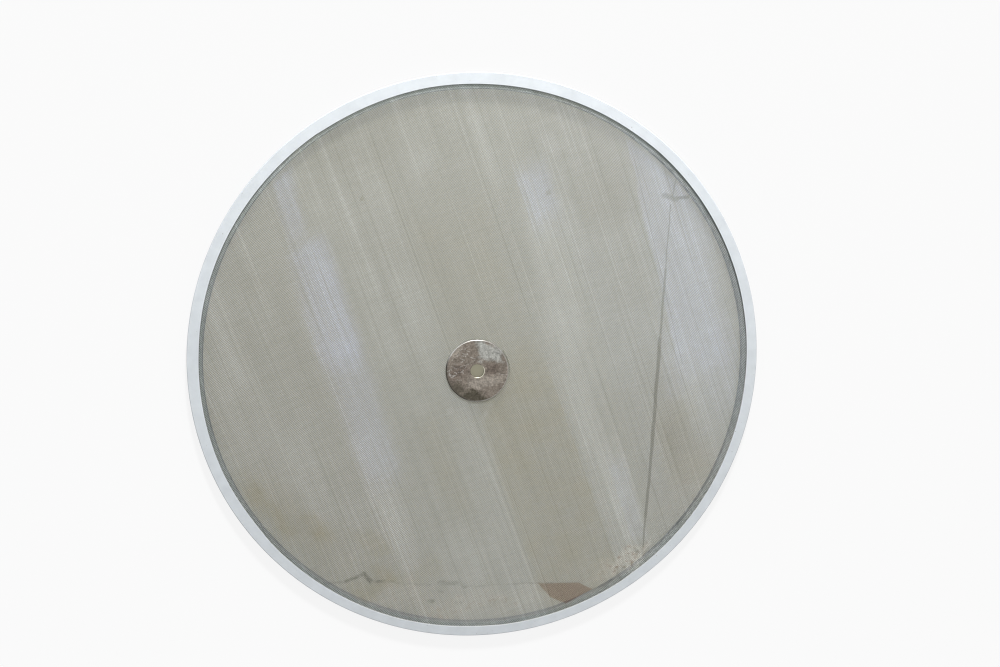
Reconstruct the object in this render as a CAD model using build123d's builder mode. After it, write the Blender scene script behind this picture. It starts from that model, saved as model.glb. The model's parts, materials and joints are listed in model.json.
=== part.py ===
from build123d import *
import os

# A round sieve of a powder sifter, in millimetres: woven wire cloth over a flat steel ring, a moulded silicone
# rim round the ring and the cloth's edge, and two steel discs that hold the middle of the cloth between them.
# The origin is the middle of the rim's underside. +Z goes up through the centre hole, +Y along the warp wires.

# Rim
overall_diameter = 762.0
rim_wall = 3.0  # silicone outside the ring
lip_width = 14.3  # upper lip, from the rim's outside to its inner edge
lip_thickness = 2.0
foot_width = 12.0  # lower lip, which the sieve rests on
foot_thickness = 2.0
rim_corner = 1.2  # outer corners
lip_edge = 0.5  # bevel of both lips' inner edges

# Ring under the cloth
ring_width = 16.5
ring_height = 8.0
ring_corner = 0.6  # bevel along the bar's four edges
ring_fit = 0.0  # the rim is moulded on the ring, so their faces meet

# Wire cloth: two layers of wire at each crossing
wire_diameter = 0.32
cloth_thickness = 2 * wire_diameter
cloth_trim = 1.0  # how far the cut edge stays inside the ring's outer face
cloth_hole_play = 0.5  # radially, between the cloth's hole and the bolt hole of the discs

# Centre discs
disc_diameter = 84.0
disc_thickness = 2.0
disc_bevel = 0.9  # outer edge, on the side away from the cloth
bolt_hole_diameter = 18.0
bolt_hole_bevel = 0.6  # on the same side

# Radii and heights that follow
rim_radius = overall_diameter / 2
lip_radius = rim_radius - lip_width
foot_radius = rim_radius - foot_width
channel_radius = rim_radius - rim_wall
ring_radius = channel_radius - ring_fit
cloth_radius = ring_radius - cloth_trim
cloth_hole_radius = bolt_hole_diameter / 2 + cloth_hole_play

ring_bottom = foot_thickness
ring_top = ring_bottom + ring_height
cloth_top = ring_top + cloth_thickness
rim_top = cloth_top + lip_thickness

# Flat bar on the flat, rolled to a hoop, its edges broken
with BuildPart() as support_ring:
    with BuildSketch(Plane.XZ) as bar_section:
        with Locations((ring_radius - ring_width / 2, ring_bottom + ring_height / 2)):
            Rectangle(ring_width, ring_height)
        chamfer(bar_section.vertices(), ring_corner)
    revolve(axis=Axis.Z)
support_ring.part.label = "support_ring"

# The cloth lies on the ring's top face. Its hole is wider than the bolt hole, so that no wire end reaches the bolt.
with BuildPart() as wire_cloth:
    with BuildSketch(Plane.XY.offset(ring_top)):
        Circle(cloth_radius)
        Circle(cloth_hole_radius, mode=Mode.SUBTRACT)
    extrude(amount=cloth_thickness)
wire_cloth.part.label = "wire_cloth"

# C section round the ring: the upper lip lies on the cloth, the foot under the ring, and the wall between them
# steps in over the ring's edge to meet the cut edge of the cloth.
with BuildPart() as rim_gasket:
    with BuildSketch(Plane.XZ) as rim_section:
        with BuildLine():
            Polyline(
                (rim_radius, 0),
                (rim_radius, rim_top),
                (lip_radius, rim_top),
                (lip_radius, cloth_top),
                (cloth_radius, cloth_top),
                (cloth_radius, ring_top),
                (channel_radius, ring_top),
                (channel_radius, ring_bottom),
                (foot_radius, ring_bottom),
                (foot_radius, 0),
                close=True,
            )
        make_face()
        outer_corners = rim_section.vertices().group_by(Axis.X)[-1]
        fillet(outer_corners, rim_corner)
        lip_corner = rim_section.vertices().group_by(Axis.Y)[-1].sort_by(Axis.X)[0]
        foot_corner = rim_section.vertices().group_by(Axis.Y)[0].sort_by(Axis.X)[0]
        chamfer([lip_corner, foot_corner], lip_edge)
    revolve(axis=Axis.Z)
rim_gasket.part.label = "rim_gasket"

# Punched discs, one on each face of the cloth, their bevelled edges turned away from it
with BuildPart() as centre_disc_upper:
    with BuildSketch(Plane.XY.offset(cloth_top)):
        Circle(disc_diameter / 2)
        Circle(bolt_hole_diameter / 2, mode=Mode.SUBTRACT)
    extrude(amount=disc_thickness)
    hole_edge, outer_edge = centre_disc_upper.faces().sort_by(Axis.Z)[-1].edges().sort_by(SortBy.LENGTH)
    chamfer(hole_edge, bolt_hole_bevel)
    chamfer(outer_edge, disc_bevel)
centre_disc_upper.part.label = "centre_disc_upper"

with BuildPart() as centre_disc_lower:
    mirror(centre_disc_upper.part, about=Plane.XY.offset(ring_top + cloth_thickness / 2))
centre_disc_lower.part.label = "centre_disc_lower"

os.makedirs("parts", exist_ok=True)
export_step(support_ring.part, "parts/support_ring.step")
export_step(wire_cloth.part, "parts/wire_cloth.step")
export_step(rim_gasket.part, "parts/rim_gasket.step")
export_step(centre_disc_upper.part, "parts/centre_disc_upper.step")
export_step(centre_disc_lower.part, "parts/centre_disc_lower.step")
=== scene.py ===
import json
import math
import bpy
import numpy as np
from mathutils import Matrix, Vector


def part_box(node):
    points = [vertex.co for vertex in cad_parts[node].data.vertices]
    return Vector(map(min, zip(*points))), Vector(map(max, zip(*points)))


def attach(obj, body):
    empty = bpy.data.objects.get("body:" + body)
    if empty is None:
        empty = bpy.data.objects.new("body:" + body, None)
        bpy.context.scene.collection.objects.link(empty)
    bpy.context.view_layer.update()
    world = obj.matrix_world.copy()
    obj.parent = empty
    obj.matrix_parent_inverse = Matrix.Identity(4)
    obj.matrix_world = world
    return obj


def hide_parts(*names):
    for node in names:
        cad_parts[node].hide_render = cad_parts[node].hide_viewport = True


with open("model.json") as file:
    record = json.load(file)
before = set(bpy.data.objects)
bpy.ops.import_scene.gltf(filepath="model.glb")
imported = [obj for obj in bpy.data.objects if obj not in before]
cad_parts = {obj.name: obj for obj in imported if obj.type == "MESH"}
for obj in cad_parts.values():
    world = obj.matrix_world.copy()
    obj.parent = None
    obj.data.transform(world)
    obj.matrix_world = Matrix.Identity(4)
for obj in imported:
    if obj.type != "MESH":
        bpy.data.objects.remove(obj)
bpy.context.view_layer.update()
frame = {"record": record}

# Sifter sieve: woven steel wires over a rolled steel ring, a moulded silicone rim round both, and a pair of punched
# steel discs at the middle. Metres, +Z up, +Y along the warp wires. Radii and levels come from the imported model.
mm = 0.001
rng = np.random.default_rng(30)


def turnedNode(node):
    # Outer radius, lowest and highest level of a turned node of the frame
    low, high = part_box(node)
    return high[0], low[2], high[2]


rimRadius, rimBottom, rimTop = turnedNode("rim_gasket")
ringRadius, ringBottom, ringTop = turnedNode("support_ring")
clothRadius, clothBottom, clothTop = turnedNode("wire_cloth")
discRadius, discBottom, discTop = turnedNode("centre_disc_upper")
lowDiscBottom = turnedNode("centre_disc_lower")[1]
ringInside = ringRadius - 16.5 * mm
boltHoleRadius = frame["record"]["mounts"][0]["dims"]["r_mm"] * mm


def linear(code, alpha=1.0):
    # sRGB hex code to a linear colour
    parts = [int(code[i:i + 2], 16) / 255 for i in (1, 3, 5)]
    return [c / 12.92 if c <= 0.04045 else ((c + 0.055) / 1.055) ** 2.4 for c in parts] + [alpha]


def addNode(tree, kind, inputs=None, **settings):
    # A shader node with its settings; an input is a value or the socket that feeds it
    node = tree.nodes.new("ShaderNode" + kind)
    for name, value in settings.items():
        setattr(node, name, value)
    for key, value in (inputs or {}).items():
        if isinstance(value, bpy.types.NodeSocket):
            tree.links.new(value, node.inputs[key])
        else:
            node.inputs[key].default_value = value
    return node


def newMaterial(name):
    material = bpy.data.materials.new(name)
    material.use_nodes = True
    tree = material.node_tree
    shader = tree.nodes["Principled BSDF"]
    place = addNode(tree, "TexCoord").outputs["Object"]
    return material, tree, shader, place


def painted(tree, colour, *coats):
    # Coats laid over a colour, each a mask and the colour that shows where the mask is one
    for mask, coat in coats:
        colour = addNode(tree, "Mix", {"Factor": mask, 6: colour, 7: coat}, data_type="RGBA").outputs[2]
    return colour


def ramps(tree, *steps, times=None):
    # Product of straight ramps, and of a first factor if there is one. A ramp is a value, the low and high ends of its
    # run and what it gives at each, held beyond both.
    product = times
    for value, low, high, start, end in steps:
        ramp = addNode(
            tree, "MapRange", {"Value": value, "From Min": low, "From Max": high, "To Min": start, "To Max": end}
        ).outputs[0]
        if product is not None:
            ramp = addNode(tree, "Math", {0: product, 1: ramp}, operation="MULTIPLY").outputs[0]
        product = ramp
    return product


def wandered(tree, place, scale, detail, rough, reaches):
    # The place moved by a noise, once for each pair of reaches along X and Y, in metres
    noise = {"Vector": place, "Scale": scale, "Detail": detail, "Roughness": rough}
    wander = addNode(tree, "TexNoise", noise).outputs["Color"]
    wander = addNode(tree, "VectorMath", {0: wander, 1: (0.5, 0.5, 0.5)}, operation="SUBTRACT").outputs[0]
    return [
        addNode(tree, "VectorMath", {0: wander, 1: (*reach, 0), 2: place}, operation="MULTIPLY_ADD").outputs[0]
        for reach in reaches
    ]


def fromAxis(tree, place):
    # Distance from the Z axis
    flat = addNode(tree, "VectorMath", {0: place, 1: (1, 1, 0)}, operation="MULTIPLY").outputs[0]
    return addNode(tree, "VectorMath", {0: flat}, operation="LENGTH").outputs["Value"]


def bands(tree, place, strips):
    # Adds up soft strips that run along Y. A strip is its strength times two steps across, times one along: each step
    # goes smoothly from nothing at the half-width plus the softness to all at the half-width. x is measured from the
    # strip's leaning middle line.
    total = None
    split = addNode(tree, "SeparateXYZ", {0: place}).outputs
    for x, halfWidth, left, right, y, halfLength, soft, lean, strength in strips:
        along = addNode(tree, "Math", {0: split[1], 1: y * mm}, operation="SUBTRACT").outputs[0]
        middle = addNode(tree, "Math", {0: along, 1: lean, 2: x * mm}, operation="MULTIPLY_ADD").outputs[0]
        across = addNode(tree, "Math", {0: split[0], 1: middle}, operation="SUBTRACT").outputs[0]
        along = addNode(tree, "Math", {0: along}, operation="ABSOLUTE").outputs[0]
        part = strength
        for value, outer, inner in (
            (across, -(halfWidth + left), -halfWidth),
            (across, halfWidth + right, halfWidth),
            (along, halfLength + soft, halfLength),
        ):
            part = addNode(
                tree,
                "MapRange",
                {"Value": value, "From Min": outer * mm, "From Max": inner * mm, "To Min": 0.0, "To Max": part},
                interpolation_type="SMOOTHSTEP",
            ).outputs[0]
        total = part if total is None else addNode(tree, "Math", {0: total, 1: part}, operation="ADD").outputs[0]
    return addNode(tree, "Clamp", {0: total}).outputs[0]


def patchInside(tree, place, corners, soft):
    # One inside a convex outline, nothing outside: the least of the distances to its sides, over the softness
    inside = None
    for i, (x, y) in enumerate(corners):
        nextX, nextY = corners[(i + 1) % len(corners)]
        normal = Vector((y - nextY, nextX - x, 0)).normalized()
        reach = addNode(tree, "VectorMath", {0: place, 1: normal}, operation="DOT_PRODUCT").outputs["Value"]
        reach = addNode(
            tree, "Math", {0: reach, 1: normal.dot(Vector((x, y, 0))) * mm}, operation="SUBTRACT"
        ).outputs[0]
        if inside is not None:
            reach = addNode(tree, "Math", {0: inside, 1: reach}, operation="MINIMUM").outputs[0]
        inside = reach
    return addNode(tree, "MapRange", {"Value": inside, "From Min": 0.0, "From Max": soft * mm}).outputs[0]


def towards(tree, place, heading, period=2 * math.pi):
    # Distance along a level direction, given in degrees from +X; with a period, the phase of waves along it
    turn = math.radians(heading)
    pace = Vector((math.cos(turn), math.sin(turn), 0)) * 2 * math.pi / period
    return addNode(tree, "VectorMath", {0: place, 1: pace}, operation="DOT_PRODUCT").outputs["Value"]


def scratches(tree, place, strokes):
    # Greatest of several strokes, each a straight segment with its own half-width and strength, soft at the edge
    total = None
    for x0, y0, x1, y1, half, soft, strength in strokes:
        start = Vector((x0, y0, 0)) * mm
        run = Vector((x1 - x0, y1 - y0, 0)) * mm
        moved = addNode(tree, "VectorMath", {0: place, 1: start}, operation="SUBTRACT").outputs[0]
        along = addNode(tree, "VectorMath", {0: moved, 1: run / run.length_squared}, operation="DOT_PRODUCT")
        held = addNode(tree, "Clamp", {0: along.outputs["Value"]}).outputs[0]
        foot = addNode(tree, "VectorMath", {0: run, "Scale": held}, operation="SCALE").outputs[0]
        across = addNode(tree, "VectorMath", {0: moved, 1: foot}, operation="SUBTRACT").outputs[0]
        flat = addNode(tree, "VectorMath", {0: across, 1: (1, 1, 0)}, operation="MULTIPLY").outputs[0]
        away = addNode(tree, "VectorMath", {0: flat}, operation="LENGTH").outputs["Value"]
        stroke = addNode(
            tree,
            "MapRange",
            {"Value": away, "From Min": (half + soft) * mm, "From Max": half * mm, "To Min": 0, "To Max": strength},
            interpolation_type="SMOOTHSTEP",
        ).outputs[0]
        if total is not None:
            stroke = addNode(tree, "Math", {0: total, 1: stroke}, operation="MAXIMUM").outputs[0]
        total = stroke
    return total


def newPiece(name, points, faces, material, node, flatEnds=0):
    # The last faces of the list, flatEnds of them, are flat; with no flat ends, edges sharper than a rounding's steps
    # stay crisp
    mesh = bpy.data.meshes.new(name)
    mesh.from_pydata(points.tolist(), [], faces.tolist())
    mesh.polygons.foreach_set("use_smooth", np.arange(len(faces)) < len(faces) - flatEnds)
    if flatEnds == 0:
        mesh.set_sharp_from_angle(angle=math.radians(40))
    mesh.materials.append(material)
    piece = bpy.data.objects.new(name, mesh)
    bpy.context.scene.collection.objects.link(piece)
    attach(piece, "root")
    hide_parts(node)
    return piece


def roundedProfile(corners, arcSteps=5):
    # Closed outline of (radius, level) points; a corner with a rounding r becomes an arc tangent to both sides, which
    # touches them at r / tan(half the corner's angle) from the corner. A point on each side close to the arc keeps the
    # flat beside it flat.
    points = []
    count = len(corners)
    for i, (u, v, rounding) in enumerate(corners):
        here = np.array([u, v])
        back = np.array(corners[i - 1][:2]) - here
        ahead = np.array(corners[(i + 1) % count][:2]) - here
        if rounding == 0:
            points.append(here)
            continue
        back, ahead = back / np.linalg.norm(back), ahead / np.linalg.norm(ahead)
        half = math.acos(np.clip(back @ ahead, -1, 1)) / 2
        middle = (back + ahead) / np.linalg.norm(back + ahead)
        centre = here + middle * rounding / math.sin(half)
        first, last = here + back * rounding / math.tan(half), here + ahead * rounding / math.tan(half)
        a, b = np.arctan2(*(first - centre)[::-1]), np.arctan2(*(last - centre)[::-1])
        turn = (b - a + math.pi) % (2 * math.pi) - math.pi
        sweep = a + turn * np.linspace(0, 1, arcSteps)
        points.append(first + back * rounding * 0.12)
        points.extend(centre + rounding * np.stack([np.cos(sweep), np.sin(sweep)], 1))
        points.append(last + ahead * rounding * 0.12)
    return np.array(points)


def turned(profile, steps, shift=None):
    # The closed outline goes round the Z axis: x = r cos(angle), y = r sin(angle), with r moved by shift(r, z, angle).
    # The outline runs anticlockwise in (r, z), so the faces point outwards.
    angle = np.arange(steps) * 2 * math.pi / steps
    radius = np.broadcast_to(profile[:, 0], (steps, len(profile))).copy()
    level = np.broadcast_to(profile[:, 1], (steps, len(profile))).copy()
    if shift is not None:
        moveRadius, moveLevel = shift(radius, level, angle[:, None])
        radius, level = radius + moveRadius, level + moveLevel
    points = np.stack([radius * np.cos(angle)[:, None], radius * np.sin(angle)[:, None], level], 2).reshape(-1, 3)
    i, j = np.meshgrid(np.arange(steps), np.arange(len(profile)), indexing="ij")
    nextI, nextJ = (i + 1) % steps, (j + 1) % len(profile)
    width = len(profile)
    faces = np.stack([i * width + j, nextI * width + j, nextI * width + nextJ, i * width + nextJ], 2)
    return points, faces.reshape(-1, 4)


# Camera: above the sieve's upper rim edge, its axis off the picture's middle by the shift, as fitted to the rim
view = {
    "place": (-35.2, 268.2, 1272.7),  # mm
    "target": (-45.0, -14.0, 12.6),
    "upward": (0.342, 0.940, 0.0),
    "focalPixels": 966.2,
    "frameWidth": 1000,
    "shift": (0.0508, 0.0588),
}
camera = bpy.data.cameras.new("camera")
camera.lens = camera.sensor_width * view["focalPixels"] / view["frameWidth"]
camera.shift_x, camera.shift_y = view["shift"]
camera.clip_start, camera.clip_end = 0.01, 50
cameraObject = bpy.data.objects.new("camera", camera)
bpy.context.scene.collection.objects.link(cameraObject)
bpy.context.scene.camera = cameraObject
backward = (Vector(view["place"]) - Vector(view["target"])).normalized()
rightward = Vector(view["upward"]).cross(backward).normalized()
turn = Matrix([rightward, backward.cross(rightward), backward]).transposed()
cameraObject.matrix_world = Matrix.Translation(Vector(view["place"]) * mm) @ turn.to_4x4()
print("camera set")

# Light: one small lamp low beyond the far edge, near enough to fade across the sieve, and an even pale surround
light = {
    "azimuth": 65,  # degrees from +X towards +Y
    "elevation": 28,
    "distance": 2.6,
    "size": 0.3,
    "watts": 114,
    "surround": 0.53,
    "seenSurround": 0.95,
}
lamp = bpy.data.lights.new("lamp", "AREA")
lamp.shape, lamp.size, lamp.energy = "DISK", light["size"], light["watts"]
lampObject = bpy.data.objects.new("lamp", lamp)
bpy.context.scene.collection.objects.link(lampObject)
a, e = math.radians(light["azimuth"]), math.radians(light["elevation"])
toLamp = Vector((math.cos(a) * math.cos(e), math.sin(a) * math.cos(e), math.sin(e)))
lampPlace = toLamp * light["distance"]
lampObject.matrix_world = Matrix.Translation(lampPlace) @ toLamp.to_track_quat("Z", "Y").to_matrix().to_4x4()

world = bpy.data.worlds.new("surround")
world.use_nodes = True
bpy.context.scene.world = world
tree = world.node_tree
rays = addNode(tree, "LightPath").outputs
seen = addNode(tree, "Math", {0: rays["Is Camera Ray"], 1: rays["Is Glossy Ray"]}, operation="MAXIMUM").outputs[0]
seen = addNode(tree, "Math", {0: seen, 1: rays["Is Transmission Ray"]}, operation="MAXIMUM").outputs[0]
strength = addNode(
    tree, "MapRange", {"Value": seen, "To Min": light["surround"], "To Max": light["seenSurround"]}
).outputs[0]
tree.links.new(strength, tree.nodes["Background"].inputs["Strength"])
tree.nodes["Background"].inputs["Color"].default_value = linear("#fdfdff")

# Floor: matt white board that is darker where the lamp reaches it more, so that it looks even, and that glows a
# little for the camera; under the sieve it is a bare grey screed. Evening: paint = level / (surround + lamp's part at
# the sieve's near foot * (distance of that foot / distance) cubed).
floor = {
    "halfSide": 20.0,
    "level": 0.09,
    "glow": 0.86,
    "lampPart": 0.465,
    "footDistance": 2.93,
    "screed": "#9a9684",
    "screedRadius": 0.370,
    "screedGlow": 0.21,
    "screedGlowColour": "#fffadc",
}
material, tree, shader, place = newMaterial("mattFloorPaint")
away = addNode(tree, "VectorMath", {0: place, 1: lampPlace}, operation="DISTANCE").outputs["Value"]
away = addNode(tree, "Math", {0: floor["footDistance"], 1: away}, operation="DIVIDE").outputs[0]
away = addNode(tree, "Math", {0: away, 1: 3.0}, operation="POWER").outputs[0]
away = addNode(
    tree, "Math", {0: away, 1: floor["lampPart"], 2: light["surround"]}, operation="MULTIPLY_ADD"
).outputs[0]
even = addNode(tree, "Math", {0: floor["level"], 1: away}, operation="DIVIDE").outputs[0]
fromMiddle = addNode(tree, "VectorMath", {0: place}, operation="LENGTH").outputs["Value"]
outside = addNode(tree, "Math", {0: fromMiddle, 1: floor["screedRadius"]}, operation="GREATER_THAN").outputs[0]
tree.links.new(painted(tree, linear(floor["screed"]), (outside, even)), shader.inputs["Base Color"])
seenOnly = addNode(tree, "LightPath").outputs["Is Camera Ray"]
glow = ramps(tree, (outside, 0, 1, floor["screedGlow"], floor["glow"]), times=seenOnly)
glowColour = painted(tree, linear(floor["screedGlowColour"]), (outside, linear("#ffffff")))
tree.links.new(glowColour, shader.inputs["Emission Color"])
tree.links.new(glow, shader.inputs["Emission Strength"])
shader.inputs["Roughness"].default_value = 0.9
shader.inputs["Specular IOR Level"].default_value = 0.0
side = floor["halfSide"]
mesh = bpy.data.meshes.new("floor")
mesh.from_pydata([(-side, -side, 0), (side, -side, 0), (side, side, 0), (-side, side, 0)], [], [(0, 1, 2, 3)])
mesh.materials.append(material)
floorObject = bpy.data.objects.new("floor", mesh)
bpy.context.scene.collection.objects.link(floorObject)
floorObject.location.z = -0.0002
print("light and floor set")

# Wire cloth: plain weave of bright drawn stainless wire, its real pitch, each wire its own closed prism
cloth = {
    "pitch": 0.94,  # mm
    "wire": 0.32,
    "sides": 4,
    "spans": 20,
    "uneven": 0.05,  # how far a wire lies from its even place
    "unevenMost": 0.1,
    "endGap": 0.2,  # from a wire's end to the cloth's edge
    "nip": 0.4,  # last short span before each end
    "sag": 0.25,
    "wireColour": "#a9adae",
    "sheenColour": "#c8d1e8",
    "paleSheenColour": "#cfd4d7",
    "grimeColour": "#8b8267",
    "darkPatchColour": "#645e50",
    "dustAndPaintedLightColour": "#cfcec8",
    "markColour": "#2e3c4c",
    "patchColour": "#70524c",
    # Bands along the warp in mm: x and half-width, softness of the left and the right side, y and half-length, softness
    # of the ends, lean (x per y), strength
    # Painted sheen: bluish highlights of the wires in bands along the warp
    "sheen": [
        (-152, 15, 24, 18, 150, 56, 40, 0.08, 0.52),
        (-162, 12, 26, 24, 0, 60, 70, 0.06, 0.34),
        (-150, 7, 14, 14, 300, 44, 30, 0.12, 0.42),
        (152, 10, 16, 18, 188, 24, 34, 0.0, 0.4),
        (300, 28, 3, 34, 66, 126, 80, 0.08, 0.31),
        (316, 26, 20, 40, -125, 20, 50, 0.06, 0.15),
        (134, 6, 4, 12, -238, 46, 26, 0.02, 0.2),
        (246, 8, 4, 16, -90, 30, 40, 0.12, 0.12),
        (250, 60, 40, 80, 0, 250, 80, 0.0, 0.06),
    ],
    # Painted sheen: neutral pale highlights in bands, and a few small pale spots
    "gloss": [
        (-182, 8, 24, 24, -110, 50, 50, 0.2, 0.24),
        (-176, 9, 14, 14, -178, 36, 40, 0.1, 0.3),
        (-110, 18, 24, 26, -290, 50, 70, 0.05, 0.18),
        (-262, 8, 14, 14, -60, 50, 60, 0.1, 0.18),
        (-232, 6, 12, 12, -150, 24, 40, 0.15, 0.2),
        (140, 14, 24, 28, 90, 60, 60, 0.14, 0.28),
        (124, 10, 10, 22, -70, 60, 70, 0.1, 0.22),
        (130, 12, 6, 12, -225, 56, 34, 0.02, 0.25),
        (106, 5, 5, 12, 290, 50, 50, 0.0, 0.22),
        (190, 6, 10, 10, 243, 6, 18, -0.6, 0.25),
        (-72, 30, 24, 24, 170, 90, 60, 0.0, 0.2),
        (-45, 10, 16, 20, -190, 150, 80, 0.03, 0.18),
        (-296, 10, 18, 18, 150, 50, 60, 0.12, 0.26),
        (-300, 16, 26, 26, -10, 30, 60, 0.0, 0.16),
        (20, 10, 18, 18, 272, 8, 26, 0.0, 0.22),
        (270, 8, 10, 24, -120, 50, 50, 0.1, 0.16),
        (-56, 2, 6, 6, -36, 2, 6, 0.0, 0.4),
        (-10, 2, 6, 6, -56, 2, 6, 0.0, 0.45),
    ],
    "grime": [
        (38, 50, 16, 6, -190, 130, 90, 0.0, 0.27),
        (35, 40, 30, 20, 90, 80, 90, 0.0, 0.12),
        (-86, 8, 18, 18, -110, 40, 50, 0.0, 0.15),
        (-312, 10, 22, 22, -70, 20, 50, -0.2, 0.16),
        (-282, 8, 16, 16, -130, 12, 20, -0.3, 0.4),
        (-218, 8, 14, 14, -174, 14, 20, -0.3, 0.3),
        (-330, 4, 14, 14, -80, 30, 40, -0.3, 0.3),
        (-262, 24, 26, 26, -180, 30, 50, -0.4, 0.12),
        (-240, 18, 20, 20, -232, 10, 20, -0.3, 0.3),
        (-180, 30, 24, 24, -240, 6, 22, -0.3, 0.15),
        (228, 20, 26, 26, -200, 30, 60, 0.0, 0.16),
    ],
    "darkPatches": [
        (-300, 8, 24, 24, -150, 10, 34, -0.3, 0.08),
        (-62, 1, 3, 3, 258, 2, 3, 0.0, 0.5),
        (166, 1, 4, 4, 186, 3, 4, 0.0, 0.4),
        (232, 16, 24, 24, -205, 30, 50, 0.0, 0.18),
        (192, 40, 40, 40, -200, 90, 60, 0.0, 0.11),
        (226, 14, 24, 24, 90, 60, 60, 0.0, 0.08),
        (236, 34, 40, 40, 215, 60, 60, 0.0, 0.13),
        # A faint darker disc below the centre discs
        (-7, 37, 6, 6, -62, 24, 12, 0.0, 0.05),
    ],
    "dust": [
        (-215, 30, 20, 20, -262, 12, 16, -0.5, 0.14),
        (-130, 40, 20, 24, -308, 10, 18, -0.35, 0.2),
        (-55, 30, 20, 20, -332, 8, 14, -0.15, 0.16),
        (235, 26, 26, 26, -250, 24, 40, 0.8, 0.12),
        (112, 14, 14, 14, -328, 10, 14, 0.8, 0.5),
        (76, 10, 12, 14, -336, 6, 12, 0.8, 0.3),
    ],
    # strokes in mm: start x, y, end x, y, half-width, soft edge, strength
    "lineAndDiscShadow": [
        (134, -320, 152, -280, 0.5, 1.4, 0.6),
        (152, -280, 188, -190, 1.2, 1.7, 0.62),
        (188, -190, 246, -46, 1.5, 1.7, 0.62),
        (246, -46, 280, 40, 0.8, 1.5, 0.55),
        (280, 40, 312, 118, 0.2, 1.2, 0.5),
        (308, 132, 321, 121, 1.6, 3.0, 0.4),
        (318, 124, 336, 119, 1.0, 2.4, 0.5),
        (318, 127, 327, 145, 0.2, 1.6, 0.45),
        (327, 145, 337, 125, 0.1, 1.4, 0.25),
        # Painted shadow and grime round the disc's edge, to its right and below it
        (41.3, 13, 43.4, 3, 0.2, 0.9, 0.8),
        (43.4, 3, 43.3, -8, 0.3, 0.9, 0.9),
        (43.3, -8, 41.0, -18, 0.2, 0.9, 0.8),
        (41.0, -18, 36.4, -26, 0.0, 0.9, 0.5),
        (-20, -38.5, -4, -43.2, 0.1, 1.0, 0.6),
        (-4, -43.2, 12, -41.6, 0.1, 1.0, 0.5),
    ],
    "pale": [
        (-27, 348, -27, -345, 0.1, 0.9, 0.35),
        (-22, 300, -22, -60, 0.1, 0.8, 0.3),
        (-14, -60, -14, -345, 0.1, 0.8, 0.3),
        (-86, -60, -84, -330, 0.1, 0.8, 0.35),
        (-78, 20, -78, -340, 0.1, 0.9, 0.3),
        (-282, 210, -282, -60, 0.1, 0.9, 0.3),
        (-160, 330, -166, 20, 0.1, 0.9, 0.25),
        (104, 330, 102, -290, 0.1, 0.9, 0.3),
        (129, 210, 128, -120, 0.1, 0.9, 0.3),
        (148, 240, 146, -200, 0.1, 0.9, 0.3),
        (159, 120, 158, -150, 0.1, 0.9, 0.3),
        (248, 120, 246, -220, 0.1, 0.9, 0.3),
        (-48, 60, -47, -340, 0.1, 0.8, 0.28),
        (-110, -90, -108, -330, 0.1, 0.8, 0.3),
        (-128, 200, -126, -40, 0.1, 0.8, 0.25),
        (-190, -40, -186, -300, 0.1, 0.8, 0.25),
        (118, 60, 116, -250, 0.1, 0.8, 0.3),
        (124, -60, 122, -310, 0.1, 0.8, 0.3),
        (213, -20, 210, -250, 0.1, 0.8, 0.28),
        (262, -60, 260, -230, 0.1, 0.8, 0.28),
        (66, -120, 65, -340, 0.1, 0.8, 0.2),
        (-236, 180, -238, -120, 0.1, 0.8, 0.22),
    ],
    "dark": [
        (284, 190, 264, -90, 0.1, 1.0, 0.3),
        (-24, 340, -24, -340, 0.1, 0.8, 0.25),
        (-6, 330, -6, 50, 0.1, 0.8, 0.2),
        (176, 160, 174, -290, 0.1, 0.8, 0.22),
        (138, 200, 137, -80, 0.1, 0.8, 0.2),
        (-74, -60, -74, -300, 0.1, 0.8, 0.22),
        (-200, -120, -196, -290, 0.1, 0.8, 0.2),
        (-250, 200, -252, 0, 0.1, 0.8, 0.18),
    ],
    "ragged": [
        (-299, -207, -272, -215, 0.3, 3.0, 0.4),
        (-272, -215, -250, -214, 0.7, 3.0, 0.95),
        (-250, -214, -243, -213, 1.0, 3.0, 1.0),
        (-243, -214, -238, -228, 1.4, 4.0, 1.0),
        (-240, -226, -219, -236, 0.8, 3.0, 0.8),
        (-219, -236, -202, -246, 0.4, 3.0, 0.45),
        (-202, -246, -164, -263, 0.2, 3.0, 0.3),
        (-150, -266, -128, -274, 1.6, 4.0, 0.5),
        (-122, -278, -119, -283, 1.4, 4.0, 0.55),
        (-119, -283, -34, -312, 0.2, 2.5, 0.3),
        (-34, -312, 34, -338, 0.3, 2.0, 0.4),
        (-172, -286, -168, -287, 1.0, 4.0, 0.6),
        (-139, -303, -135, -305, 1.2, 4.0, 0.7),
        (-154, -276, -152, -279, 0.8, 3.0, 0.6),
        (59, -355, 71, -353, 0.4, 3.0, 0.45),
        (71, -353, 103, -338, 0.3, 3.0, 0.4),
        (121, -320, 128, -327, 0.8, 4.0, 0.5),
        (132, -330, 200, -300, 0.5, 4.0, 0.35),
    ],
    # corner points in mm of the brown patch, anticlockwise
    "patch": [(-22, -316), (-14, -343), (5, -361), (50, -355), (34, -338)],
    "patchStrength": 0.88,
}


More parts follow.
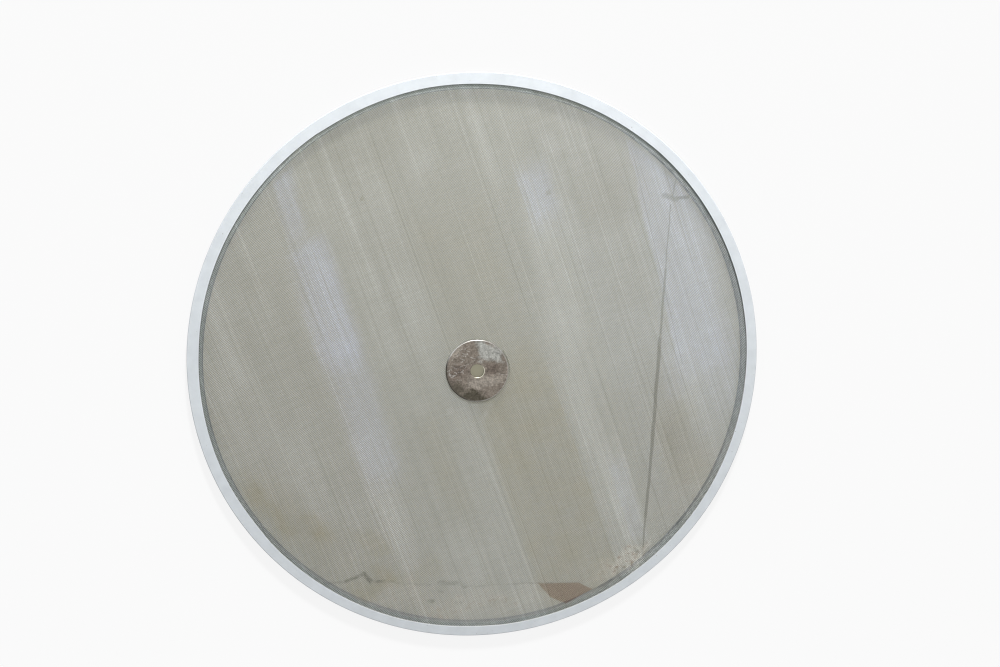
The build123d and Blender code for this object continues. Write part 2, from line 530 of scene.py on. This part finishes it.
def weaveWires(across, level):
    # Straight wires side by side, at offsets of one pitch plus a small random shift, each cut to the chord of the
    # cloth's circle and, near the middle, to both sides of the bolt hole. A wire is a prism: its rings of points lie at
    # even steps along it, and once more just inside each end, on a circle of the wire's radius round (offset, level +
    # sag of the cloth).
    pitch, radius = cloth["pitch"] * mm, cloth["wire"] / 2 * mm
    sides, spans = cloth["sides"], cloth["spans"]
    hole = boltHoleRadius + cloth["pitch"] * mm / 2
    count = int(2 * clothRadius / pitch)
    offset = (np.arange(count) - (count - 1) / 2) * pitch
    most = cloth["unevenMost"] * mm
    offset = offset + rng.normal(0, cloth["uneven"] * mm, count).clip(-most, most)
    offset = offset[np.abs(offset) < clothRadius - radius]
    half = np.sqrt((clothRadius - cloth["endGap"] * mm) ** 2 - offset**2)
    inner = np.sqrt(np.clip(hole**2 - offset**2, 0, None))
    split = inner > 0
    offsets = np.concatenate([offset, offset[split]])
    starts = np.concatenate([-half, inner[split]])
    ends = np.concatenate([np.where(split, -inner, half), half[split]])
    even = starts[:, None] + (ends - starts)[:, None] * np.linspace(0, 1, spans - 1)
    nip = cloth["nip"] * mm
    along = np.concatenate([even[:, :1], even[:, :1] + nip, even[:, 1:-1], even[:, -1:] - nip, even[:, -1:]], 1)
    x, y = (offsets[:, None] + 0 * along, along) if across == 0 else (along, offsets[:, None] + 0 * along)
    centre = level + drape(x, y)
    turn = (np.arange(sides) + 0.5) * 2 * math.pi / sides
    sideways, upward = radius * np.cos(turn), radius * np.sin(turn)
    points = np.empty((*along.shape, sides, 3))
    points[..., 0] = x[..., None] + (sideways if across == 0 else 0)
    points[..., 1] = y[..., None] + (sideways if across == 1 else 0)
    points[..., 2] = centre[..., None] + upward
    wires = len(offsets)
    w, s, k = np.meshgrid(np.arange(wires), np.arange(spans), np.arange(sides), indexing="ij")
    ring = (w * (spans + 1) + s) * sides
    nextK = (k + 1) % sides
    walls = np.stack([ring + k, ring + nextK, ring + sides + nextK, ring + sides + k], 3).reshape(-1, 4)
    first = np.arange(wires)[:, None] * (spans + 1) * sides + np.arange(sides)
    last = first + spans * sides
    if across == 0:
        walls = walls[:, ::-1]
        first, last = first[:, ::-1], last[:, ::-1]
    faces = np.concatenate([walls, first[:, ::-1], last])
    return points.reshape(-1, 3), faces, 2 * wires


def drape(x, y):
    # Low swells along the warp, flat at the ring and under the discs: sines across x, turned slowly along y
    r = np.hypot(x, y)
    free = np.clip((ringRadius - 0.02 - r) / 0.06, 0, 1) * np.clip((r - discRadius) / 0.06, 0, 1)
    swell = np.sin(x / 0.047 + 1.3 * np.sin(y / 0.31)) + 0.6 * np.sin(x / 0.026 + y / 0.19)
    return -cloth["sag"] * mm * free * (0.5 + 0.3 * swell)


# Drawn stainless wire, woven, dulled by use: grey-green, with a painted sheen, pale and bluish highlights in bands
# along the warp, fine lines where single wires lie closer, and yellowish grime towards the foot. The over and under of
# the weave, 1.9 mm, is too fine to show in the render, so its slanting hatch is drawn at the 2.3 to 2.6 mm that show.
material, tree, shader, place = newMaterial("wovenStainlessWire")
loose, tight = wandered(tree, place, 22.0, 3.0, 0.5, [(0.014, 0.06), (0.005, 0.005)])
lines = {}
for name, scale, shift, detail, rough in (
    ("warp", (600, 4.0, 0), (0, 0, 0), 2.0, 0.6),
    ("broad", (60, 3.0, 0), (7, 3, 0), 3.0, 0.6),
    ("weft", (7, 600, 0), (0, 0, 0), 2.0, 0.6),
    ("single", (260, 1.6, 0), (3, 9, 0), 1.0, 0.5),
):
    stretched = addNode(tree, "Mapping", {"Vector": place, "Scale": scale, "Location": shift}).outputs[0]
    lines[name] = addNode(
        tree, "TexNoise", {"Vector": stretched, "Scale": 1.0, "Detail": detail, "Roughness": rough}
    ).outputs[0]
cloudy = addNode(tree, "TexNoise", {"Vector": place, "Scale": 26.0, "Detail": 5.0, "Roughness": 0.7}).outputs[0]
flaws = addNode(tree, "TexNoise", {"Vector": place, "Scale": 130.0, "Detail": 4.0, "Roughness": 0.6}).outputs[0]
reach = fromAxis(tree, place)
# The bands' sides are frayed by the broad lines, and their strength follows the fine ones
frayed = ramps(tree, (lines["broad"], 0, 1, -0.01, 0.01))
frayed = addNode(tree, "CombineXYZ", {0: frayed}).outputs[0]
frayed = addNode(tree, "VectorMath", {0: loose, 1: frayed}, operation="ADD").outputs[0]
lined = (lines["warp"], 0.3, 0.7, 0.7, 1.25)
offRing = (reach, ringInside - 9 * mm, ringInside - 3 * mm, 1, 0.1)
# Painted sheen in bands, bluish and neutral pale; the bluish one fades over the ring
sheen = ramps(tree, offRing, lined, times=bands(tree, frayed, cloth["sheen"]))
gloss = ramps(tree, lined, times=bands(tree, frayed, cloth["gloss"]))
grime = ramps(tree, (cloudy, 0.35, 0.65, 0.4, 1.6), times=bands(tree, frayed, cloth["grime"]))
dusty = bands(tree, loose, cloth["dust"])
mottled = ramps(tree, (flaws, 0.52, 0.66, 0, 1.6), times=dusty)
patch = ramps(tree, (patchInside(tree, tight, cloth["patch"], 1.5), 0, 1, 0, cloth["patchStrength"]))
colour = painted(
    tree,
    linear(cloth["wireColour"]),
    (grime, linear(cloth["grimeColour"])),
    (gloss, linear(cloth["paleSheenColour"])),
    (sheen, linear(cloth["sheenColour"])),
    (bands(tree, loose, cloth["darkPatches"]), linear(cloth["darkPatchColour"])),
    (dusty, linear(cloth["dustAndPaintedLightColour"])),
    (mottled, linear(cloth["patchColour"])),
    (patch, linear(cloth["patchColour"])),
)
# Hatch: two sets of slanting lines, sines of the distance across them, bent by a slow noise; the first is strong on the
# left, the second on the right
wobble = addNode(tree, "TexNoise", {"Vector": place, "Scale": 14.0, "Detail": 1.0}).outputs[0]
wobble = ramps(tree, (wobble, 0, 1, -6, 6))
across = addNode(tree, "SeparateXYZ", {0: place}).outputs[0]
tone = 1.0
for period, heading, strength in (
    (2.3, 26, ((across, -0.18, -0.12, 1.7, 1.0), (across, 0.1, 0.26, 0.29, 0.04))),
    (2.57, -62, ((across, 0.0, 0.26, 0.12, 0.3),)),
):
    phase = towards(tree, place, heading, period * mm)
    phase = addNode(tree, "Math", {0: phase, 1: wobble}, operation="ADD").outputs[0]
    wave = addNode(tree, "Math", {0: phase}, operation="SINE").outputs[0]
    tone = addNode(tree, "Math", {0: ramps(tree, *strength, times=wave), 1: tone}, operation="ADD").outputs[0]
# Far side: painted shade a little within the rim, then painted light along the lip where its shadow falls
farSide = towards(tree, place, 78)
for inner, outer, start, end, strength in ((330, 352, 0.27, 0.33, -0.08), (359.5, 363, 0.2, 0.29, 0.3)):
    part = ramps(tree, (farSide, start, end, 0, strength), (reach, inner * mm, outer * mm, 0, 1))
    tone = addNode(tree, "Math", {0: part, 1: tone}, operation="ADD").outputs[0]
tone = ramps(
    tree,
    (lines["warp"], 0.34, 0.66, 0.92, 1.08),
    (lines["warp"], 0.66, 0.74, 1.0, 1.22),
    (lines["warp"], 0.26, 0.34, 0.8, 1.0),
    (lines["broad"], 0.35, 0.65, 0.95, 1.05),
    (lines["single"], 0.62, 0.7, 1.0, 1.2),
    (lines["single"], 0.3, 0.36, 0.83, 1.0),
    (cloudy, 0.3, 0.7, 0.93, 1.07),
    (flaws, 0.3, 0.7, 0.93, 1.07),
    (lines["weft"], 0.34, 0.66, 0.93, 1.07),
    times=tone,
)
colour = addNode(tree, "VectorMath", {0: colour, "Scale": tone}, operation="SCALE").outputs[0]
# Marks: the ragged edge, the dark lines, and painted shadow and grime round the disc
marks = ramps(tree, (flaws, 0.38, 0.6, 0.1, 1), times=scratches(tree, tight, cloth["ragged"]))
for mark in (scratches(tree, tight, cloth["lineAndDiscShadow"]), scratches(tree, place, cloth["dark"])):
    marks = addNode(tree, "Math", {0: marks, 1: mark}, operation="MAXIMUM").outputs[0]
pale = scratches(tree, place, cloth["pale"])
colour = painted(tree, colour, (marks, linear(cloth["markColour"])), (pale, linear(cloth["dustAndPaintedLightColour"])))
tree.links.new(colour, shader.inputs["Base Color"])
tree.links.new(ramps(tree, (cloudy, 0.3, 0.7, 0.46, 0.54)), shader.inputs["Roughness"])
shader.inputs["Metallic"].default_value = 0.9
wireMaterial = material

wireHalf = cloth["wire"] / 2 * mm
points, faces, ends = weaveWires(1, clothBottom + wireHalf)
weft = newPiece("weftWires", points, faces, wireMaterial, "wire_cloth", ends)
points, faces, ends = weaveWires(0, clothTop - wireHalf)
warp = newPiece("warpWires", points, faces, wireMaterial, "wire_cloth", ends)
print("cloth woven:", len(weft.data.polygons) + len(warp.data.polygons), "faces")

# Silicone rim, one C section moulding: satin, milky white with a blue cast, its upper inner edge not quite even,
# with painted shade on the lip's inner wall and specks of dirt
rim = {
    "wall": 3.0,  # mm
    "lipWidth": 14.3,
    "footWidth": 12.0,
    "corner": 1.2,
    "lipEdge": 0.35,
    "steps": 1440,
    "lean": (0.13, 0.47, -0.57),  # mm: how far the lip's inner edge lies out, evenly, towards +X and towards +Y
    # how far out it lies in places, degrees and mm
    "nicks": [
        (0, 0.0), (30, 0.5), (36, 0.0), (52, -0.1), (68, 0.0), (80, 0.7), (88, 0.1), (97, -0.4), (102, -0.2),
        (104, 0.4), (120, 0.0), (146, 0.1), (155, -0.8), (170, -0.2), (181, 0.3), (187, -0.2), (193, -0.9),
        (197, -0.7), (200, 0.2), (232, 0.5), (240, 0.0), (248, -0.7), (253, -0.5), (256, 0.2), (268, 0.1),
        (284, 0.6), (287, -0.2), (296, 0.1), (312, 0.3), (330, -0.4), (338, -0.7), (350, -0.5), (360, 0.0),
    ],
    "colour": "#bdc2c5",
    "dirtAndShade": "#7c786c",
}


def rimWander(radius, level, angle):
    # The upper lip's inner edge lies out by the lean, by a sine of three turns and by the nicks, joined by straight
    # lines; the move fades to nothing at the channel's wall
    free = np.clip((channelRadius - radius) / (channelRadius - lipRadius), 0, 1) * (level > clothTop - 1e-5)
    degrees, nicks = np.transpose(rim["nicks"])
    even, leanX, leanY = rim["lean"]
    out = np.interp(np.degrees(angle), degrees, nicks) + 0.28 * np.cos(3 * angle - 0.38)
    return free * (out + even + leanX * np.cos(angle) + leanY * np.sin(angle)) * mm, 0 * level


lipRadius = rimRadius - rim["lipWidth"] * mm
footRadius = rimRadius - rim["footWidth"] * mm
channelRadius = rimRadius - rim["wall"] * mm
corner, lipEdge = rim["corner"] * mm, rim["lipEdge"] * mm
outline = roundedProfile([
    (rimRadius, rimBottom, corner),
    (rimRadius, rimTop, corner),
    (lipRadius, rimTop, lipEdge),
    (lipRadius, clothTop, 0),
    (channelRadius, clothTop, 0),
    (channelRadius, ringBottom, 0),
    (footRadius, ringBottom, 0),
    (footRadius, rimBottom, lipEdge),
])
material, tree, shader, place = newMaterial("mouldedSilicone")
cloudy = addNode(tree, "TexNoise", {"Vector": place, "Scale": 55.0, "Detail": 5.0, "Roughness": 0.6}).outputs[0]
facing = addNode(tree, "NewGeometry").outputs["Normal"]
inward = addNode(tree, "VectorMath", {0: facing, 1: place}, operation="DOT_PRODUCT").outputs["Value"]
# Painted shade on the lip's inner wall, where its faces turn inward
innerWall = ramps(
    tree,
    (inward, -0.12, -0.3, 0, 0.55),
    (fromAxis(tree, place), lipRadius + 3 * mm, lipRadius + 4 * mm, 1, 0),
)
specks = addNode(tree, "TexNoise", {"Vector": place, "Scale": 260.0, "Detail": 1.0}).outputs[0]
specks = ramps(tree, (specks, 0.77, 0.8, 0, 0.6))
tone = ramps(tree, (cloudy, 0.3, 0.7, 0.95, 1.05))
colour = painted(tree, linear(rim["colour"]), (innerWall, linear(rim["dirtAndShade"])))
colour = addNode(tree, "VectorMath", {0: colour, "Scale": tone}, operation="SCALE").outputs[0]
colour = painted(tree, colour, (specks, linear(rim["dirtAndShade"])))
tree.links.new(colour, shader.inputs["Base Color"])
tree.links.new(ramps(tree, (cloudy, 0.3, 0.7, 0.41, 0.49)), shader.inputs["Roughness"])
peel = addNode(tree, "TexNoise", {"Vector": place, "Scale": 700.0, "Detail": 2.0}).outputs[0]
bump = addNode(tree, "Bump", {"Height": peel, "Strength": 0.4, "Distance": 0.00005}).outputs[0]
tree.links.new(bump, shader.inputs["Normal"])
shader.inputs["Subsurface Weight"].default_value = 0.25
shader.inputs["Subsurface Radius"].default_value = (1, 1, 1.2)
shader.inputs["Subsurface Scale"].default_value = 0.002
siliconeRim = newPiece("siliconeRim", *turned(outline, rim["steps"], rimWander), material, "rim_gasket")
print("rim moulded")

# Support ring: flat stainless bar rolled to a hoop, its four edges broken
ring = {
    "corner": 0.7,  # mm
    "steps": 720,
    "colour": "#8f978b",
    "scaleColour": "#757d71",
    "stainColour": "#a3a58f",
    "dustAndPaintedLightColour": "#b4b2a4",
}
corner = ring["corner"] * mm
outline = roundedProfile([
    (ringRadius, ringBottom, corner),
    (ringRadius, ringTop, corner),
    (ringInside, ringTop, corner),
    (ringInside, ringBottom, corner),
])
# Hot rolled stainless bar, pickled dull: greenish grey with fine darker rolling lines that run round the hoop,
# yellowish water stains in large soft patches; darker towards +X, painted light towards 85 degrees where the lip's
# shadow falls, and painted light, pale and not metallic, on the inner edge towards 240 degrees
material, tree, shader, place = newMaterial("rolledStainlessBar")
reach = fromAxis(tree, place)
level = addNode(tree, "SeparateXYZ", {0: place}).outputs[2]
rolled = addNode(tree, "CombineXYZ", {0: reach, 1: level}).outputs[0]
rolled = addNode(tree, "VectorMath", {0: place, 1: (0.01, 0.01, 0.0), 2: rolled}, operation="MULTIPLY_ADD").outputs[0]
rolled = addNode(tree, "TexNoise", {"Vector": rolled, "Scale": 700.0, "Detail": 2.0}).outputs[0]
stains = addNode(tree, "TexNoise", {"Vector": place, "Scale": 18.0, "Detail": 5.0, "Roughness": 0.65}).outputs[0]
# Darker towards +X; painted light towards 85 degrees, where the lip's shadow falls
shade = ramps(
    tree, (towards(tree, place, 0), 0.26, 0.35, 1, 0.66), (towards(tree, place, 85), 0.2, 0.33, 1, 1.3)
)
# Painted light on the inner edge towards 240 degrees, pale and not metallic
dusty = ramps(
    tree,
    (reach, ringInside + 0.8 * mm, ringInside + 1.6 * mm, 1, 0),
    (towards(tree, place, 240), 0.1, 0.3, 0, 0.8),
)
colour = painted(
    tree,
    linear(ring["colour"]),
    (ramps(tree, (rolled, 0.35, 0.65, 0, 0.6)), linear(ring["scaleColour"])),
    (ramps(tree, (stains, 0.48, 0.66, 0, 0.7)), linear(ring["stainColour"])),
)
colour = addNode(tree, "VectorMath", {0: colour, "Scale": shade}, operation="SCALE").outputs[0]
colour = painted(tree, colour, (dusty, linear(ring["dustAndPaintedLightColour"])))
tree.links.new(colour, shader.inputs["Base Color"])
tree.links.new(ramps(tree, (dusty, 0, 1, 1, 0)), shader.inputs["Metallic"])
tree.links.new(ramps(tree, (stains, 0.3, 0.7, 0.45, 0.58)), shader.inputs["Roughness"])
bump = addNode(tree, "Bump", {"Height": rolled, "Strength": 0.4, "Distance": 0.00004}).outputs[0]
tree.links.new(bump, shader.inputs["Normal"])
supportRing = newPiece("supportRing", *turned(outline, ring["steps"]), material, "support_ring")
print("ring rolled")

# Centre discs: punched from stainless sheet, faintly brushed, with brown heat and water stains over most of it, one
# clear patch, pale scuffs, and painted highlights and painted shade on the edges
disc = {
    "roll": 0.9,  # mm
    "holeEdge": 0.6,
    "steps": 256,
    "colour": "#7e766c",
    "clearColour": "#aaaca6",
    "darkColour": "#474439",
    "brownColour": "#6a6058",
    "greyColour": "#a49d92",
    "paleColour": "#bcbab4",
    "brightColour": "#cbc8b6",
    "paintedEdgeShade": "#4c4942",
    # stains: corner points in mm, anticlockwise, softness of the edge, strength
    "clear": [
        ([(4, 11), (37, -2), (45, 17), (15, 43)], 5, 0.75),
        ([(8, 28), (24, 22), (22, 40), (6, 46)], 4, 0.45),
    ],
    "grey": [
        ([(-16, -1), (-24, -18), (-8, -26), (18, -28), (38, -22), (34, -14), (8, -8)], 6, 0.55),
        ([(-34, 26), (-20, 26), (4, 40), (-20, 44)], 6, 0.65),
    ],
    "brown": [
        ([(8, -8), (27, -14), (32, -1), (13, 6)], 2.5, 0.65),
        ([(-44, 10), (-38, -6), (-8, 1), (-6, 14), (-24, 20)], 6, 0.75),
        ([(-2, -48), (-2, -27), (20, -30), (26, -40)], 6, 0.8),
    ],
    "dark": [
        ([(-46, 2), (-40, -30), (-20, -22), (-26, -4)], 7, 0.65),
        ([(-40, -24), (-10, -50), (4, -46), (-4, -25), (-20, -16)], 6, 0.85),
    ],
    # strokes as for the cloth
    "scuffs": [
        (-39, 13, -32, 13, 0.6, 1.2, 0.7),
        (-32, 13, -8, 13, 0.2, 0.7, 0.5),
        (-8, 13, 2, 15, 0.1, 0.7, 0.35),
        (-14, 28, -9, 24, 0.2, 0.8, 0.8),
        (-10, 29, -5, 25, 0.2, 0.8, 0.7),
        (-9, 23, -4, 27, 0.2, 0.8, 0.8),
        (-5, 31, -1, 28, 0.2, 0.7, 0.5),
        (-2, 21, 3, 17, 0.2, 0.7, 0.6),
        (-37, 9, -34, 4, 0.8, 1.4, 0.7),
        (-34, 4, -30, 5, 0.6, 1.2, 0.7),
        (-29, 9, -27, 6, 0.3, 0.9, 0.6),
        (-24, 8, -21, 5, 0.3, 0.8, 0.7),
        (-21, 5, -17, 7, 0.3, 0.8, 0.7),
        (-17, 8, -19, 3, 0.3, 0.8, 0.6),
        (-17, 18, -11, 20, 0.2, 0.8, 0.5),
        (-26, 20, -22, 17, 0.2, 0.8, 0.4),
        (-7, 33, 2, 35, 0.2, 0.8, 0.4),
        (26, -14, 36, -19, 0.2, 0.7, 0.5),
        (12, -21, 30, -28, 0.2, 0.9, 0.3),
        (-30, -2, -24, -4, 0.2, 0.8, 0.3),
        (-22, 27, -17, 30, 0.1, 0.7, 0.5),
        (-28, 24, -24, 27, 0.1, 0.7, 0.4),
        (-16, 24, -12, 21, 0.1, 0.7, 0.5),
        (-31, 17, -27, 15, 0.1, 0.7, 0.4),
        (-12, 33, -8, 36, 0.1, 0.7, 0.5),
        (-26, 11, -23, 13, 0.1, 0.7, 0.4),
        (-15, 9, -12, 11, 0.1, 0.7, 0.4),
        (-36, 18, -31, 22, 0.1, 0.7, 0.35),
        (16, 28, 24, 26, 0.1, 0.8, 0.3),
        (18, 22, 30, 18, 0.1, 0.8, 0.3),
        (-6, -14, 12, -20, 0.1, 0.8, 0.25),
        (0, -22, 14, -26, 0.1, 0.8, 0.2),
    ],
}
roll, holeEdge = disc["roll"] * mm, disc["holeEdge"] * mm
material, tree, shader, place = newMaterial("stainedStainlessSheet")
loose, tight = wandered(tree, place, 130.0, 4.0, 0.6, [(0.018, 0.018), (0.005, 0.005)])
blotches = addNode(tree, "TexNoise", {"Vector": place, "Scale": 210.0, "Detail": 5.0, "Roughness": 0.62}).outputs[0]
grit = addNode(tree, "TexNoise", {"Vector": place, "Scale": 460.0, "Detail": 3.0}).outputs[0]
brushing = addNode(tree, "VectorRotate", {"Vector": place, "Axis": (0, 0, 1), "Angle": math.radians(20)}).outputs[0]
brushing = addNode(tree, "Mapping", {"Vector": brushing, "Scale": (60, 1100, 0)}).outputs[0]
brushing = addNode(tree, "TexNoise", {"Vector": brushing, "Scale": 1.0, "Detail": 3.0}).outputs[0]
reach = fromAxis(tree, place)
colour = linear(disc["colour"])
for name in ("clear", "grey", "brown", "dark"):
    for corners, soft, strength in disc[name]:
        stain = ramps(tree, (patchInside(tree, loose, corners, soft), 0, 1, 0, strength))
        colour = painted(tree, colour, (stain, linear(disc[name + "Colour"])))
tone = ramps(tree, (blotches, 0.3, 0.7, 0.72, 1.28), (brushing, 0.3, 0.7, 0.9, 1.1), (grit, 0.3, 0.7, 0.76, 1.24))
colour = addNode(tree, "VectorMath", {0: colour, "Scale": tone}, operation="SCALE").outputs[0]
scuffs = ramps(tree, (grit, 0.42, 0.6, 0.1, 0.9), times=scratches(tree, tight, disc["scuffs"]))
# The outer edge has a painted highlight, half all round and full on the side at 122 degrees, and painted shade at 190,
# also on the face next to it; the hole's edge has a painted highlight at 305
dirty = towards(tree, place, 190)
grime = ramps(tree, (dirty, 24 * mm, 38 * mm, 0, 0.7), (reach, discRadius - 4.5 * mm, discRadius - 1 * mm, 0, 1))
colour = painted(tree, colour, (scuffs, linear(disc["paleColour"])), (grime, linear(disc["paintedEdgeShade"])))
edgeColour = painted(
    tree,
    colour,
    (ramps(tree, (towards(tree, place, 122), 22 * mm, 36 * mm, 0.5, 1)), linear(disc["paleColour"])),
    (ramps(tree, (dirty, 18 * mm, 32 * mm, 0, 1)), linear(disc["paintedEdgeShade"])),
)
ragged = addNode(tree, "Math", {0: grit, 1: 1.6 * mm, 2: reach}, operation="MULTIPLY_ADD").outputs[0]
edge = ramps(tree, (ragged, discRadius - 0.8 * mm, discRadius - 0.2 * mm, 0, 1))
holeWear = ramps(
    tree,
    (reach, boltHoleRadius + 0.9 * mm, boltHoleRadius + 1.3 * mm, 1, 0),
    (towards(tree, place, 305), -1 * mm, 6 * mm, 0, 1),
)
colour = painted(tree, colour, (edge, edgeColour), (holeWear, linear(disc["brightColour"])))
tree.links.new(colour, shader.inputs["Base Color"])
shader.inputs["Metallic"].default_value = 1.0
tree.links.new(ramps(tree, (blotches, 0.3, 0.7, 0.34, 0.5)), shader.inputs["Roughness"])
bump = addNode(tree, "Bump", {"Height": brushing, "Strength": 0.4, "Distance": 0.00002}).outputs[0]
tree.links.new(bump, shader.inputs["Normal"])
for name, node, low, high in (
    ("upperDisc", "centre_disc_upper", discBottom, discTop),
    ("lowerDisc", "centre_disc_lower", lowDiscBottom, clothBottom),
):
    upper = node == "centre_disc_upper"
    outline = roundedProfile([
        (discRadius, low, 0 if upper else roll),
        (discRadius, high, roll if upper else 0),
        (boltHoleRadius, high, holeEdge if upper else 0),
        (boltHoleRadius, low, 0 if upper else holeEdge),
    ])
    piece = newPiece(name, *turned(outline, disc["steps"]), material, node)
print("discs punched")

bpy.context.scene.view_settings.view_transform = "Standard"
bpy.context.scene.cycles.pixel_filter_type = "BOX"
bpy.context.scene.cycles.filter_width = 1.0
